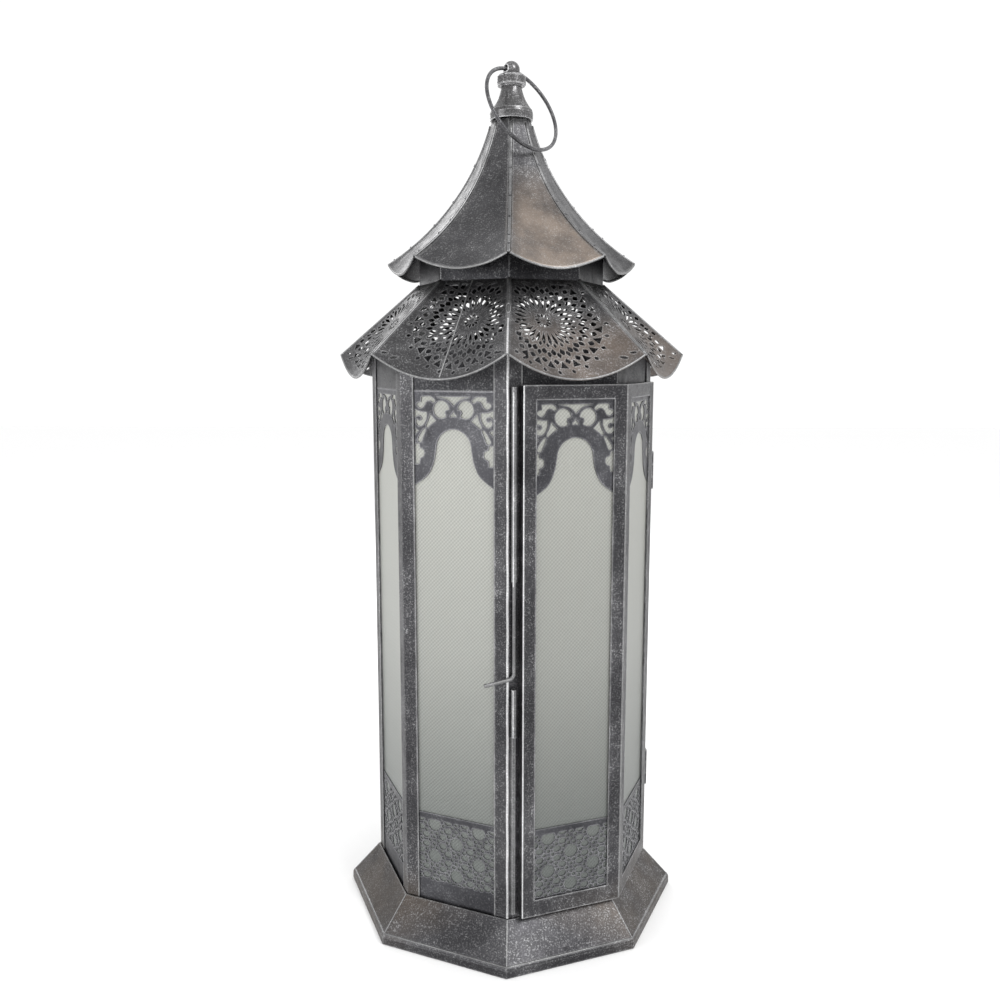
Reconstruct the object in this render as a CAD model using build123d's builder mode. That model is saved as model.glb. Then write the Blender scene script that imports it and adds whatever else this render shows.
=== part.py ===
from build123d import *

import os
from math import atan2, cos, degrees, hypot, radians, sin, tan

# Octagonal pierced-metal lantern with a two-facet hinged door, two-tier roof and carry ring.
#
# Frame: millimetres, +Z up, origin at the centre of the base's underside. One corner of the
# octagon points to -Y. Azimuth is measured from -Y towards +X, so corner k stands at 45 * k
# degrees and facet k lies between corners k and k + 1. Facets 0 and 1 are the door's.

os.makedirs("parts", exist_ok=True)

# ---------------------------------------------------------------- driving dimensions (mm)
# Octagon
SIDES = 8
FACET_ANGLE = 360 / SIDES
HALF = FACET_ANGLE / 2
COS_HALF = cos(radians(HALF))
TAN_HALF = tan(radians(HALF))
DOOR_FACETS = 2

# Body: corner radius over the posts, and the heights of its floor and header
body_corner_radius = 116.3
body_height = 414.0
floor_plate_thickness = 1.0
floor_plate_clearance = 0.1
floor_drop = 6.8
post_leg = 11.0
post_thickness = 1.0
band_thickness = 0.8
sill_height = 17.0

# Plinth: rim, slope and return
plinth_height = 33.8
plinth_rim_height = 8.7
plinth_collar = 1.5
plinth_spread = 22.2
plinth_foot_flare = 2.1
plinth_wall = 1.3
plinth_return_width = 9.0
plinth_return_thickness = 1.0

# Pierced screens of the fixed facets
screen_thickness = 0.8
screen_edge_margin = 3.0
screen_side_strip = 10.0
window_sill_height = 107.0
arch_rise = 44.3
arch_crown_drop = 28.2
arch_crown_radius = 14.6
fret_top_drop = 3.4
dado_bottom_height = 51.3
screen_cover = 2.5

# Glass and its tabs
glass_thickness = 2.5
glass_bottom_gap = 4.0
glass_top_gap = 1.5
clip_thickness = 0.5
clip_height = 9.0
clip_lip = 3.0
clip_clearance = 0.2
clip_foot = 3.4

# Door
door_sheet = 0.9
door_proud = 8.5
door_hinge_proud = 4.2
door_lead_inset = 9.0
door_hinge_inset = 6.2
door_foot_gap = 2.7
door_header_lap = 5.2
door_flange_gap = 0.5
door_hinge_flange_gap = 1.0
door_lead_stile = 10.0
door_corner_stile = 10.75
door_hinge_stile = 11.0
door_top_rail = 10.7
door_bottom_rail = 13.0
door_glass_thickness = 1.6
door_arch_crown_drop = 28.2
door_arch_rise = 39.8
door_screen_lap = 4.3

# Hinges: knuckles around a pin, on facet 1 beside the corner at +X
pin_radius = 1.0
knuckle_radius = 2.2
knuckle_wall_gap = 0.2
hinge_pin_gap = 0.05
hinge_inset = 2.5
hinge_leaf_thickness = 0.7
hinge_leaf_reach = 6.5
hinge_leaf_gap = 0.5
knuckle_length = 10.0
knuckle_gap = 0.3
hinge_end_distance = 74.0
pin_head_radius = 1.9
pin_head_thickness = 1.0

# Jamb tubes and the turning latch wire, on facet 0 beside the front corner
jamb_inset = 4.3
jamb_radius = 2.3
jamb_foot = 3.0
jamb_upper_length = 142.7
jamb_upper_drop = 1.5
jamb_middle_bottom = 182.0
jamb_middle_top = 219.5
jamb_strip_width = 4.4
jamb_strip_depth = 2.0
jamb_strip_gap = 0.5
latch_wire_radius = 1.5
latch_bore_gap = 0.08
latch_bend_drop = 74.0
latch_bend_radius = 4.5
latch_insert = 40.0
latch_handle_length = 23.5
latch_handle_droop = 9.0
latch_handle_azimuth = 198.3

# Both roofs: sheet and raised ridge seams
roof_sheet = 0.8
ridge_half_width = 1.2
ridge_raise = 0.8
ridge_side_gap = 0.05

# Lower skirt: how far it stands out, rises and hangs over the door
skirt_overhang = 26.2
skirt_door_gap = 21.4
skirt_rise = 57.1
skirt_scallop = 17.6
skirt_seat_gap = 0.1

# Neck band
neck_inset = 40.8
neck_thickness = 1.0
neck_lap = 4.5

# Upper roof: its eave, a middle point and the crown of its hollow curve
roof_overhang = 26.0
roof_lift = 16.2
roof_middle_share = 0.4286
roof_middle_rise = 54.1
roof_crown_radius = 15.0
roof_rise = 116.6
roof_scallop = 9.7
roof_sag_start = 0.4
roof_seat_gap = 0.1

# Finial
finial_base_radius = 17.6
finial_base_drop = 3.5
finial_shoulder_radius = 16.9
finial_neck_radius = 8.4
finial_flare_height = 17.8
finial_seat_gap = 0.1
finial_collar_radius = 11.7
finial_collar_length = 7.8
ball_radius = 6.8
ball_sink = 2.3
ring_hole_radius = 2.6

# Carry ring
ring_mean_radius = 36.0
ring_wire_radius = 1.5
ring_hole_azimuth = 44.2
ring_hole_tilt = 3.7
ring_lean = 24.4

# Candle pan
pan_radius = 42.0
pan_height = 8.0
pan_wall = 1.0

# ---------------------------------------------------------------- derived sizes
body_apothem = body_corner_radius * COS_HALF
body_half_width = body_apothem * TAN_HALF
plinth_top_radius = body_corner_radius + plinth_collar
plinth_rim_radius = plinth_top_radius + plinth_spread
plinth_foot_radius = plinth_rim_radius + plinth_foot_flare
body_floor_height = plinth_height - floor_drop
header_bottom = body_floor_height + body_height
window_half_width = body_half_width - screen_side_strip
arch_crown_height = header_bottom - arch_crown_drop
arch_flare_height = arch_crown_height - arch_rise
fret_top_height = header_bottom - fret_top_drop
door_bottom = plinth_height + door_foot_gap
door_top = header_bottom + door_header_lap
door_lead_offset = door_lead_inset - body_half_width
door_hinge_offset = body_half_width - door_hinge_inset
door_arch_crown_height = door_top - door_top_rail - door_arch_crown_drop
door_arch_flare_height = door_arch_crown_height - door_arch_rise
hinge_offset = body_half_width - hinge_inset
hinge_heights = (door_bottom + hinge_end_distance, door_top - hinge_end_distance)
jamb_offset = jamb_inset - body_half_width
jamb_upper_top = door_top - jamb_upper_drop
jamb_upper_bottom = jamb_upper_top - jamb_upper_length
latch_bend_height = jamb_upper_bottom - latch_bend_drop
skirt_eave_radius = body_corner_radius + skirt_overhang
skirt_eave_height = door_top + skirt_door_gap
skirt_top_height = skirt_eave_height + skirt_rise
neck_corner_radius = body_corner_radius - neck_inset
roof_eave = (neck_corner_radius + roof_overhang, skirt_top_height + roof_lift)
roof_middle = (roof_eave[0] * roof_middle_share, roof_eave[1] + roof_middle_rise)
roof_crown = (roof_crown_radius, roof_eave[1] + roof_rise)
finial_base_height = roof_crown[1] - finial_base_drop
finial_shoulder_height = finial_base_height + 8.0
finial_neck_height = finial_shoulder_height + finial_flare_height
finial_collar_height = finial_neck_height + 1.0 + finial_collar_length
ball_centre_height = finial_collar_height + ball_radius - ball_sink
inset_apothem = body_apothem - post_thickness
glass_apothem = inset_apothem - screen_thickness
glass_back = glass_apothem - glass_thickness
screen_half_width = body_half_width - screen_edge_margin
glass_half_width = window_half_width + screen_cover
door_apothem = body_apothem + door_proud
door_corner_radius = door_apothem / COS_HALF
skirt_eave_apothem = skirt_eave_radius * COS_HALF
neck_apothem = neck_corner_radius * COS_HALF
skirt_run = skirt_eave_apothem - neck_apothem
skirt_slope = skirt_rise / skirt_run
skirt_drop = roof_sheet * hypot(1, (skirt_rise + skirt_scallop) / skirt_run)


def skirt_under(apothem, u):
    """Height of the skirt's underside over a point of a facet, less the seat gap."""
    share = (apothem - neck_apothem) / skirt_run
    across = u / (apothem * TAN_HALF)
    hem = skirt_eave_height - skirt_scallop * (1 - across ** 2)
    return skirt_top_height + (hem - skirt_top_height) * share - skirt_drop - skirt_seat_gap


post_top = skirt_under(body_apothem, body_half_width - post_leg)
header_top = skirt_under(body_apothem, 0)


# ---------------------------------------------------------------- frames and shared shapes
def facet_azimuth(k):
    return FACET_ANGLE * k + HALF


def outward(azimuth):
    return Vector(sin(radians(azimuth)), -cos(radians(azimuth)), 0)


def along(azimuth):
    return Vector(cos(radians(azimuth)), sin(radians(azimuth)), 0)


def facet_plane(azimuth, apothem):
    """Upright plane of a facet: local x runs along it, local y is up, local z is outward."""
    return Plane(origin=outward(azimuth) * apothem, x_dir=along(azimuth), z_dir=outward(azimuth))


def plan_point(azimuth, u, apothem):
    """Point in plan at u along a facet and at the given distance from the axis."""
    p = outward(azimuth) * apothem + along(azimuth) * u
    return (p.X, p.Y)


def radial_plane(azimuth):
    """Upright plane through the axis: local x is the distance from the axis, local y is up."""
    return Plane(origin=(0, 0, 0), x_dir=outward(azimuth), z_dir=along(azimuth) * -1)


def plan_plane(azimuth, height=0.0):
    """Level plane whose local x points outward at the azimuth."""
    return Plane(origin=(0, 0, height), x_dir=outward(azimuth), z_dir=(0, 0, 1))


def finish(part, name):
    part.label = name
    export_step(part, f"parts/{name}.step")


def corner_profile(leg, thickness, radius):
    """Angle strip bent round one corner of the octagon, drawn with that corner on local +x."""
    run = Vector(-sin(radians(HALF)), cos(radians(HALF)))
    normal = Vector(cos(radians(HALF)), sin(radians(HALF)))
    tip = Vector(radius, 0) + run * leg
    tip_in = tip - normal * thickness
    inner = Vector(radius - thickness / COS_HALF, 0)
    far_side = [(tip.X, tip.Y), (tip_in.X, tip_in.Y)]
    near_side = [(tip_in.X, -tip_in.Y), (tip.X, -tip.Y)]
    return [(radius, 0), *far_side, (inner.X, 0), *near_side]


def arch_window(centre, half_width, sill, flare, crown, radius):
    """Outline of the window: straight sides, ogee shoulders and a round arched crown."""
    spring = crown - radius
    foot = (centre + half_width, flare)
    shoulder = (centre + radius + 6.9, flare + 9.4)
    waist = (centre + radius + 2.0, spring - 11)
    top = (centre + radius, spring)
    foot_left = (centre - half_width, flare)
    shoulder_left = (centre - radius - 6.9, flare + 9.4)
    waist_left = (centre - radius - 2.0, spring - 11)
    top_left = (centre - radius, spring)
    with BuildLine() as outline:
        Polyline(foot_left, (centre - half_width, sill), (centre + half_width, sill), foot)
        Spline(foot, shoulder, waist, top, tangents=((-0.85, 0.5), (0, 1)))
        ThreePointArc(top, (centre, crown), top_left)
        Spline(top_left, waist_left, shoulder_left, foot_left, tangents=((0, -1), (-0.85, -0.5)))
    return outline.edges()


def fret_and_dado(centre, fret_top, dado_bottom):
    """Main piercings of a screen: scroll eyes and leaves over the arch, stars and ovals below."""
    eye_offset, eye_drop, eye_radius = 9.8, 10.1, 6.2
    leaf_offset, leaf_drop = 26.5, 29.5
    side_offset, side_drop = 30.0, 43.0
    with Locations(*[(centre + s * eye_offset, fret_top - eye_drop) for s in (-1, 1)]):
        Circle(eye_radius, mode=Mode.SUBTRACT)
    for side in (-1, 1):
        with Locations((centre + side * leaf_offset, fret_top - leaf_drop)):
            Ellipse(5.2, 1.8, rotation=side * -52, mode=Mode.SUBTRACT)
        with Locations((centre + side * leaf_offset, fret_top - 4)):
            Ellipse(4.6, 2.4, rotation=side * -35, mode=Mode.SUBTRACT)
        with Locations((centre + side * side_offset, fret_top - side_drop)):
            Rectangle(4, 14, mode=Mode.SUBTRACT)
    star_pitch, star_rise, star_radius = 38.1, 26.3, 5.6
    oval_ring = 12.3
    stars = [(centre, dado_bottom + 7.7), (centre, dado_bottom + 7.7 + star_rise)]
    stars += [(centre + s * star_pitch / 2, dado_bottom + 7.7 + star_rise / 2) for s in (-1, 1)]
    stars += [(centre + s * star_pitch / 2, dado_bottom + 7.7 + 1.5 * star_rise - 0.5) for s in (-1, 1)]
    with Locations(*stars):
        Circle(star_radius, mode=Mode.SUBTRACT)
    for cx, cz in stars[:2]:
        for angle in (18, 53, 127, 162):
            with Locations((cx + oval_ring * cos(radians(angle)), cz + oval_ring * sin(radians(angle)))):
                Ellipse(2.7, 1.9, mode=Mode.SUBTRACT)


def tab_profile(side, edge, screen_back, glass_depth):
    """Bent tab in plan: foot on the screen, riser along the glass edge, lip behind the glass."""
    t = clip_thickness
    x0 = edge + clip_clearance
    y1 = screen_back
    y2 = screen_back - glass_depth - clip_clearance
    points = [(edge - clip_lip, y2), (x0, y2), (x0, y1), (x0 + clip_foot, y1), (x0 + clip_foot, y1 - t),
              (x0 + t, y1 - t), (x0 + t, y2 - t), (edge - clip_lip, y2 - t)]
    return [(side * x, y) for x, y in points]


# ---------------------------------------------------------------- plinth, floor and candle pan
def octagon(radius):
    RegularPolygon(radius, SIDES, rotation=0)


with BuildPart() as base_plinth:
    for radius, height in ((plinth_foot_radius, 0), (plinth_rim_radius, plinth_rim_height)):
        with BuildSketch(Plane.XY.offset(height)):
            octagon(radius)
    loft(ruled=True)
    for radius, height in ((plinth_rim_radius, plinth_rim_height), (plinth_top_radius, plinth_height)):
        with BuildSketch(Plane.XY.offset(height)):
            octagon(radius)
    loft(ruled=True)
    for radius, height in ((plinth_foot_radius, 0), (plinth_rim_radius, plinth_rim_height)):
        with BuildSketch(Plane.XY.offset(height)):
            octagon(radius - plinth_wall)
    loft(ruled=True, mode=Mode.SUBTRACT)
    for radius, height in ((plinth_rim_radius, plinth_rim_height), (plinth_top_radius, plinth_height)):
        with BuildSketch(Plane.XY.offset(height)):
            octagon(radius - plinth_wall)
    loft(ruled=True, mode=Mode.SUBTRACT)
    with BuildSketch():
        octagon(plinth_foot_radius - plinth_wall / 2)
        RegularPolygon(plinth_foot_radius - plinth_return_width / COS_HALF, SIDES, rotation=0, mode=Mode.SUBTRACT)
    extrude(amount=plinth_return_thickness)
finish(base_plinth.part, "base_plinth")

plinth_fall = (plinth_rim_radius - plinth_top_radius) / (plinth_height - plinth_rim_height)
floor_radius = plinth_top_radius - plinth_wall + (plinth_height - body_floor_height) * plinth_fall

with BuildPart() as floor_plate:
    with BuildSketch(Plane.XY.offset(body_floor_height - floor_plate_thickness)):
        octagon(floor_radius - floor_plate_clearance)
    extrude(amount=floor_plate_thickness)
finish(floor_plate.part, "floor_plate")

with BuildPart() as candle_pan:
    with BuildSketch(Plane.XY.offset(body_floor_height)):
        Circle(pan_radius)
    extrude(amount=pan_height)
    with BuildSketch(Plane.XY.offset(body_floor_height + pan_wall)):
        Circle(pan_radius - pan_wall)
    extrude(amount=pan_height, mode=Mode.SUBTRACT)
finish(candle_pan.part, "candle_pan")

# ---------------------------------------------------------------- fixed frame of the body
POSTS = {0: "front", 2: "hinge", 3: "right_rear", 4: "rear", 5: "left_rear", 6: "left", 7: "left_front"}

for corner, place in POSTS.items():
    with BuildPart() as corner_post:
        with BuildSketch(plan_plane(FACET_ANGLE * corner, body_floor_height)):
            Polygon(*corner_profile(post_leg, post_thickness, body_corner_radius), align=None)
        extrude(amount=post_top - body_floor_height)
    finish(corner_post.part, f"corner_post_{place}")

with BuildPart() as header_band:
    with BuildSketch(Plane.XY.offset(header_bottom)):
        octagon(inset_apothem / COS_HALF)
        RegularPolygon((inset_apothem - band_thickness) / COS_HALF, SIDES, rotation=0, mode=Mode.SUBTRACT)
    extrude(amount=header_top - header_bottom)
finish(header_band.part, "header_band")

sill_in = inset_apothem - band_thickness
sill_reach = body_half_width - post_leg / 2
with BuildPart() as door_sill:
    with BuildSketch(Plane.XY.offset(body_floor_height)):
        Polygon(
            plan_point(facet_azimuth(0), -sill_reach, inset_apothem),
            plan_point(FACET_ANGLE, 0, inset_apothem / COS_HALF),
            plan_point(facet_azimuth(1), sill_reach, inset_apothem),
            plan_point(facet_azimuth(1), sill_reach, sill_in),
            plan_point(FACET_ANGLE, 0, sill_in / COS_HALF),
            plan_point(facet_azimuth(0), -sill_reach, sill_in),
            align=None,
        )
    extrude(amount=sill_height)
finish(door_sill.part, "door_sill")

# ---------------------------------------------------------------- fixed screens, glass and tabs
FIXED_FACETS = range(DOOR_FACETS, SIDES)
glass_bottom = body_floor_height + glass_bottom_gap
glass_top = header_bottom - glass_top_gap

for k in FIXED_FACETS:
    with BuildPart() as side_screen:
        with BuildSketch(facet_plane(facet_azimuth(k), inset_apothem)):
            with Locations((0, (body_floor_height + header_bottom) / 2)):
                Rectangle(2 * screen_half_width, header_bottom - body_floor_height)
            window = arch_window(0, window_half_width, window_sill_height, arch_flare_height,
                                 arch_crown_height, arch_crown_radius)
            make_face(window, mode=Mode.SUBTRACT)
            fret_and_dado(0, fret_top_height, dado_bottom_height)
        extrude(amount=-screen_thickness)
    finish(side_screen.part, f"side_screen_{k}")

    with BuildPart() as side_glass:
        with BuildSketch(facet_plane(facet_azimuth(k), glass_apothem)):
            with Locations((0, (glass_bottom + glass_top) / 2)):
                Rectangle(2 * glass_half_width, glass_top - glass_bottom)
        extrude(amount=-glass_thickness)
    finish(side_glass.part, f"side_glass_{k}")

CLIP_LEVELS = (0.12, 0.88)
with BuildPart() as glass_clips:
    for k in FIXED_FACETS:
        for side in (-1, 1):
            for level in CLIP_LEVELS:
                height = glass_bottom + level * (glass_top - glass_bottom)
                profile = tab_profile(side, glass_half_width, glass_apothem, glass_thickness)
                with BuildSketch(Plane.XY.offset(height)):
                    Polygon(*[plan_point(facet_azimuth(k), x, y) for x, y in profile], align=None)
                extrude(amount=clip_height)
finish(glass_clips.part, "glass_clips")

# ---------------------------------------------------------------- door: one frame over two facets
lead_point = Vector(*plan_point(facet_azimuth(0), door_lead_offset, door_apothem))
fold_point = Vector(*plan_point(FACET_ANGLE, 0, door_corner_radius))
hinge_edge = Vector(*plan_point(facet_azimuth(1), door_hinge_offset, body_apothem + door_hinge_proud))
side_run = (hinge_edge - fold_point).normalized()
side_azimuth = degrees(atan2(side_run.Y, side_run.X))
side_apothem = fold_point.dot(outward(side_azimuth))
side_fold_offset = fold_point.dot(along(side_azimuth))
side_edge_offset = hinge_edge.dot(along(side_azimuth))
front_azimuth = facet_azimuth(0)
front_fold_offset = door_apothem * TAN_HALF
fold_half = (side_azimuth - front_azimuth) / 2
fold_azimuth = front_azimuth + fold_half


def fold_inset(depth):
    """Plan point on the fold's bisector, inside both door sheets by the same depth."""
    p = fold_point - outward(fold_azimuth) * (depth / cos(radians(fold_half)))
    return (p.X, p.Y)


lead_in = plan_point(front_azimuth, door_lead_offset, body_apothem + door_flange_gap)
lead_in_far = plan_point(front_azimuth, door_lead_offset + door_sheet, body_apothem + door_flange_gap)
fold_in = plan_point(FACET_ANGLE, 0, (body_apothem + door_hinge_flange_gap) / COS_HALF)
edge_in = plan_point(facet_azimuth(1), door_hinge_offset, body_apothem + door_hinge_flange_gap)
edge_in_far = plan_point(facet_azimuth(1), door_hinge_offset - door_sheet, body_apothem + door_hinge_flange_gap)
lead_top = plan_point(front_azimuth, door_lead_offset + door_sheet, door_apothem)
sheet_lead = plan_point(front_azimuth, door_lead_offset, door_apothem - door_sheet)
sheet_edge = plan_point(side_azimuth, side_edge_offset, side_apothem - door_sheet)
edge_top = plan_point(side_azimuth, side_edge_offset - door_sheet, side_apothem)
door_height = door_top - door_bottom

door_windows = {
    "front": (front_azimuth, door_apothem, door_lead_offset + door_lead_stile, front_fold_offset - door_corner_stile),
    "side": (side_azimuth, side_apothem, side_fold_offset + door_corner_stile, side_edge_offset - door_hinge_stile),
}
window_low = door_bottom + door_bottom_rail
window_high = door_top - door_top_rail

with BuildPart() as door_frame:
    with BuildSketch(Plane.XY.offset(door_bottom)):
        Polygon((lead_point.X, lead_point.Y), (fold_point.X, fold_point.Y), (hinge_edge.X, hinge_edge.Y),
                sheet_edge, fold_inset(door_sheet), sheet_lead, align=None)
        Polygon((lead_point.X, lead_point.Y), lead_top, lead_in_far, lead_in, align=None)
        Polygon((hinge_edge.X, hinge_edge.Y), edge_top, edge_in_far, edge_in, align=None)
    extrude(amount=door_height)
    for level in (door_bottom, door_top - door_sheet):
        with BuildSketch(Plane.XY.offset(level)):
            Polygon((lead_point.X, lead_point.Y), (fold_point.X, fold_point.Y), (hinge_edge.X, hinge_edge.Y),
                    edge_in, fold_in, lead_in, align=None)
        extrude(amount=door_sheet)
    for azimuth, apothem, u_low, u_high in door_windows.values():
        with BuildSketch(facet_plane(azimuth, apothem + door_sheet)):
            with Locations(((u_low + u_high) / 2, (window_low + window_high) / 2)):
                Rectangle(u_high - u_low, window_high - window_low)
        extrude(amount=-3 * door_sheet, mode=Mode.SUBTRACT)
finish(door_frame.part, "door_frame")

for place, (azimuth, apothem, u_low, u_high) in door_windows.items():
    centre = (u_low + u_high) / 2
    opening = (u_high - u_low) / 2
    with BuildPart() as door_screen:
        with BuildSketch(facet_plane(azimuth, apothem - door_sheet)):
            with Locations((centre, (window_low + window_high) / 2)):
                Rectangle(2 * (opening + door_screen_lap), window_high - window_low + 2 * door_screen_lap)
            window = arch_window(centre, opening + 0.8, window_sill_height, door_arch_flare_height,
                                 door_arch_crown_height, arch_crown_radius)
            make_face(window, mode=Mode.SUBTRACT)
            fret_and_dado(centre, window_high, window_low + 1.6)
        extrude(amount=-screen_thickness)
    finish(door_screen.part, f"door_screen_{place}")

    with BuildPart() as door_glass:
        with BuildSketch(facet_plane(azimuth, apothem - door_sheet - screen_thickness)):
            with Locations((centre, (window_low + window_high) / 2)):
                Rectangle(2 * (opening + screen_cover / 2), window_high - window_low + screen_cover)
        extrude(amount=-door_glass_thickness)
    finish(door_glass.part, f"door_glass_{place}")

with BuildPart() as door_clips:
    for azimuth, apothem, u_low, u_high in door_windows.values():
        centre = (u_low + u_high) / 2
        edge = (u_high - u_low) / 2 + screen_cover / 2
        back = apothem - door_sheet - screen_thickness
        for side in (-1, 1):
            for level in CLIP_LEVELS:
                height = window_low + level * (window_high - window_low)
                profile = tab_profile(side, edge, back, door_glass_thickness)
                with BuildSketch(Plane.XY.offset(height)):
                    Polygon(*[plan_point(azimuth, centre + x, y) for x, y in profile], align=None)
                extrude(amount=clip_height)
finish(door_clips.part, "door_clips")

# ---------------------------------------------------------------- hinges
hinge_azimuth = facet_azimuth(1)
pin_proud = knuckle_radius + knuckle_wall_gap
pin_plan = plan_point(hinge_azimuth, hinge_offset, body_apothem + pin_proud)
hinge_length = 3 * knuckle_length + 2 * knuckle_gap
leaf_root = hinge_offset - knuckle_radius - hinge_leaf_gap


def disc(centre, radius, level):
    with BuildSketch(Plane.XY.offset(level)) as shape:
        with Locations(centre):
            Circle(radius)
    return shape.sketch


def hinge_plate(level, u_low, u_high, proud_low, proud_high):
    corners = ((u_low, proud_low), (u_high, proud_low), (u_high, proud_high), (u_low, proud_high))
    with BuildSketch(Plane.XY.offset(level)) as shape:
        Polygon(*[plan_point(hinge_azimuth, u, body_apothem + proud) for u, proud in corners], align=None)
    return shape.sketch


with BuildPart() as hinge_leaf_fixed:
    for middle in hinge_heights:
        foot = middle - hinge_length / 2
        plate = hinge_plate(foot, leaf_root - hinge_leaf_reach, leaf_root, 0, hinge_leaf_thickness)
        extrude(plate, amount=hinge_length)
        for level in (foot, foot + 2 * (knuckle_length + knuckle_gap)):
            tab = hinge_plate(level, leaf_root, hinge_offset, 0, hinge_leaf_thickness)
            extrude(tab, amount=knuckle_length)
            extrude(disc(pin_plan, knuckle_radius, level), amount=knuckle_length)
        extrude(disc(pin_plan, pin_radius + hinge_pin_gap, foot), amount=hinge_length, mode=Mode.SUBTRACT)
finish(hinge_leaf_fixed.part, "hinge_leaf_fixed")

with BuildPart() as hinge_leaf_door:
    for middle in hinge_heights:
        foot = middle - hinge_length / 2
        level = middle - knuckle_length / 2
        tab = hinge_plate(level, door_hinge_offset, hinge_offset, pin_proud - 0.4, pin_proud + 1.5)
        extrude(tab, amount=knuckle_length)
        extrude(disc(pin_plan, knuckle_radius, level), amount=knuckle_length)
        extrude(disc(pin_plan, pin_radius + hinge_pin_gap, foot), amount=hinge_length, mode=Mode.SUBTRACT)
finish(hinge_leaf_door.part, "hinge_leaf_door")

with BuildPart() as hinge_pins:
    for middle in hinge_heights:
        foot = middle - hinge_length / 2
        extrude(disc(pin_plan, pin_radius, foot), amount=hinge_length)
        extrude(disc(pin_plan, pin_head_radius, foot + hinge_length), amount=pin_head_thickness)
finish(hinge_pins.part, "hinge_pins")

# ---------------------------------------------------------------- jamb tubes and latch wire
latch_plan = plan_point(front_azimuth, jamb_offset, body_apothem + jamb_radius)

with BuildPart() as jamb_tubes:
    for low, high in ((jamb_middle_bottom, jamb_middle_top), (jamb_upper_bottom, jamb_upper_top)):
        with BuildSketch(Plane.XY.offset(low)):
            Polygon(
                plan_point(front_azimuth, jamb_offset - jamb_foot / 2, body_apothem),
                plan_point(front_azimuth, jamb_offset + jamb_foot / 2, body_apothem),
                plan_point(front_azimuth, jamb_offset + jamb_foot / 2, body_apothem + jamb_radius),
                plan_point(front_azimuth, jamb_offset - jamb_foot / 2, body_apothem + jamb_radius),
                align=None,
            )
            with Locations(latch_plan):
                Circle(jamb_radius)
                Circle(latch_wire_radius + latch_bore_gap, mode=Mode.SUBTRACT)
        extrude(amount=high - low)
finish(jamb_tubes.part, "jamb_tubes")

strip_bottom = door_bottom + 1
strip_side = jamb_strip_width / 2
strip_chamfer = 0.8
with BuildPart() as jamb_strip:
    with BuildSketch(Plane.XY.offset(strip_bottom)):
        Polygon(
            plan_point(front_azimuth, jamb_offset - strip_side, body_apothem),
            plan_point(front_azimuth, jamb_offset + strip_side, body_apothem),
            plan_point(front_azimuth, jamb_offset + strip_side - strip_chamfer, body_apothem + jamb_strip_depth),
            plan_point(front_azimuth, jamb_offset - strip_side + strip_chamfer, body_apothem + jamb_strip_depth),
            align=None,
        )
    extrude(amount=jamb_middle_bottom - jamb_strip_gap - strip_bottom)
finish(jamb_strip.part, "jamb_strip")

handle_run = Vector(cos(radians(latch_handle_azimuth)), sin(radians(latch_handle_azimuth)), 0)
handle_plane = Plane(origin=(*latch_plan, 0), x_dir=handle_run, z_dir=handle_run.cross(Vector(0, 0, 1)))
handle_reach = latch_handle_length * cos(radians(latch_handle_droop))
handle_drop = latch_handle_length * sin(radians(latch_handle_droop))
latch_top = jamb_upper_bottom + latch_insert

with BuildPart() as latch_wire:
    with BuildLine(handle_plane):
        FilletPolyline((0, latch_top), (0, latch_bend_height), (handle_reach, latch_bend_height - handle_drop),
                       radius=latch_bend_radius)
    with BuildSketch(Plane(origin=(*latch_plan, latch_top), z_dir=(0, 0, -1))):
        Circle(latch_wire_radius)
    sweep()
finish(latch_wire.part, "latch_wire")


# ---------------------------------------------------------------- lower skirt
def sagging_strip(azimuth, apothem, side_height, sag, drop):
    """Upright slice of a roof panel: level at its neck, hanging lower between its ridges further out."""
    half = apothem * TAN_HALF - panel_side_gap / COS_HALF
    under = side_height - drop
    with BuildSketch(facet_plane(azimuth, apothem)) as strip:
        with BuildLine():
            ThreePointArc((-half, side_height), (0, side_height - sag), (half, side_height))
            Line((half, side_height), (half, under))
            ThreePointArc((half, under), (0, under - sag), (-half, under))
            Line((-half, under), (-half, side_height))
        make_face()
    return strip.sketch


panel_side_gap = ridge_half_width + ridge_side_gap
skirt_inner_apothem = neck_apothem + skirt_seat_gap
level_sag = 0.01


def skirt_height(apothem):
    return skirt_eave_height + (skirt_eave_apothem - apothem) * skirt_slope


rosette_apothem = neck_apothem + 0.47 * skirt_run
rosette_petals = 24
petal_ring, petal_length, petal_width = 11.5, 4.0, 1.2
drop_ring, drop_length, drop_width = 21.0, 2.4, 1.5
for k in range(SIDES):
    azimuth = facet_azimuth(k)
    inner_height = skirt_height(skirt_inner_apothem)
    inner = sagging_strip(azimuth, skirt_inner_apothem, inner_height, level_sag, skirt_drop)
    outer = sagging_strip(azimuth, skirt_eave_apothem, skirt_eave_height, skirt_scallop, skirt_drop)
    with BuildPart() as skirt_panel:
        loft([inner, outer], ruled=True)
        with BuildSketch(plan_plane(azimuth)):
            with Locations((rosette_apothem, 0)):
                with PolarLocations(petal_ring, rosette_petals):
                    Ellipse(petal_length, petal_width)
                with PolarLocations(drop_ring, rosette_petals):
                    Ellipse(drop_length, drop_width)
        extrude(amount=2 * skirt_top_height, mode=Mode.SUBTRACT)
    finish(skirt_panel.part, f"skirt_panel_{k}")

ridge_start = neck_corner_radius + skirt_seat_gap
top = skirt_height(ridge_start * COS_HALF) + ridge_raise
eave = skirt_eave_height + ridge_raise
with BuildPart() as skirt_ridges:
    for k in range(SIDES):
        with BuildSketch(radial_plane(FACET_ANGLE * k)):
            Polygon((ridge_start, top), (skirt_eave_radius, eave), (skirt_eave_radius, eave - skirt_drop),
                    (ridge_start, top - skirt_drop), align=None)
        extrude(amount=ridge_half_width, both=True)
finish(skirt_ridges.part, "skirt_ridges")


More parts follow.
